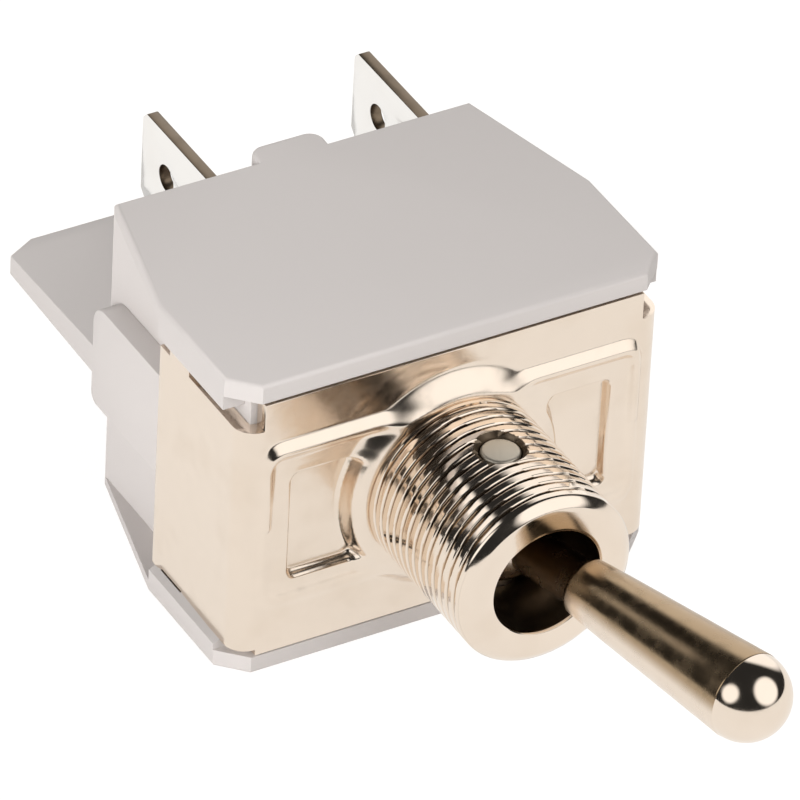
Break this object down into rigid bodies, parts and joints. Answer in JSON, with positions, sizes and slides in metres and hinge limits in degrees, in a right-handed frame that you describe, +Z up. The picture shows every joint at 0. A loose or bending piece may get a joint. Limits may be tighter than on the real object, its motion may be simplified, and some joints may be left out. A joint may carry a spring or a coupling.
{
  "type": "panel toggle switch",
  "caption": "Panel toggle switch: threaded metal bushing and tapered lever on a nickel-plated frame, grey plastic case with a rear barrier and flat push-on blades.",
  "frame": {"origin": "on the bushing's axis, in the plane of its shoulder, where the frame's boss meets the panel", "axes": "-Y out of the panel along the bushing, +Y towards the terminals, +X the way the lever tips at rest, +Z up, from the lower to the upper pole"},
  "size_m": [0.0298, 0.0609, 0.0216],
  "materials": {
    "plated_sheet": "nickel-plated sheet steel, satin",
    "plated_turned": "nickel-plated turned brass, bright",
    "pin_steel": "plated steel, ground ends",
    "grey_plastic": "light grey moulded plastic, fine matte",
    "dark_plastic": "black moulded plastic",
    "terminal_metal": "tin-plated brass sheet, bright",
    "contact_copper": "copper alloy sheet",
    "contact_silver": "silver-faced contact button",
    "plunger_plastic": "natural low-friction plastic",
    "spring_steel": "drawn spring wire"
  },
  "bodies": {
    "case": {"mounting_frame": "plated_sheet", "bushing": "plated_turned", "pivot_pin": "pin_steel", "case_upper": "grey_plastic", "case_lower": "grey_plastic", "separator": "grey_plastic", "upper_common_terminal": "terminal_metal", "upper_switched_terminal": "terminal_metal", "lower_common_terminal": "terminal_metal", "lower_switched_terminal": "terminal_metal", "upper_fixed_contact": "contact_silver", "lower_fixed_contact": "contact_silver"},
    "lever_unit": {"lever": "plated_turned", "actuator": "dark_plastic", "upper_spring": "spring_steel", "lower_spring": "spring_steel"},
    "upper_rocker_unit": {"upper_rocker": "contact_copper", "upper_moving_contact": "contact_silver"},
    "lower_rocker_unit": {"lower_rocker": "contact_copper", "lower_moving_contact": "contact_silver"},
    "upper_plunger_unit": {"upper_plunger": "plunger_plastic"},
    "lower_plunger_unit": {"lower_plunger": "plunger_plastic"}
  },
  "joints": [
    {"name": "lever_swing", "type": "hinge", "parent": "case", "child": "lever_unit", "pos_m": [0, -0.00466, 0], "axis": [0, 0, 1], "range_deg": [-27.6, 0]},
    {"name": "upper_rocker_tip", "type": "hinge", "parent": "case", "child": "upper_rocker_unit", "pos_m": [0, 0.014, 0.00551], "axis": [0, 0, 1], "range_deg": [0, 18]},
    {"name": "lower_rocker_tip", "type": "hinge", "parent": "case", "child": "lower_rocker_unit", "pos_m": [0, 0.014, -0.00551], "axis": [0, 0, 1], "range_deg": [0, 18]},
    {"name": "upper_plunger_slide", "type": "slide", "parent": "lever_unit", "child": "upper_plunger_unit", "axis": [0.2385, -0.9711, 0], "range_m": [0, 0.0008], "stiffness_N_per_m": 800, "deforming": ["upper_spring"]},
    {"name": "lower_plunger_slide", "type": "slide", "parent": "lever_unit", "child": "lower_plunger_unit", "axis": [0.2385, -0.9711, 0], "range_m": [0, 0.0008], "stiffness_N_per_m": 800, "deforming": ["lower_spring"]}
  ],
  "couplings": [
    {"joint": "upper_rocker_tip", "follows": "lever_swing", "ratio": -0.65217},
    {"joint": "lower_rocker_tip", "follows": "lever_swing", "ratio": -0.65217}
  ]
}
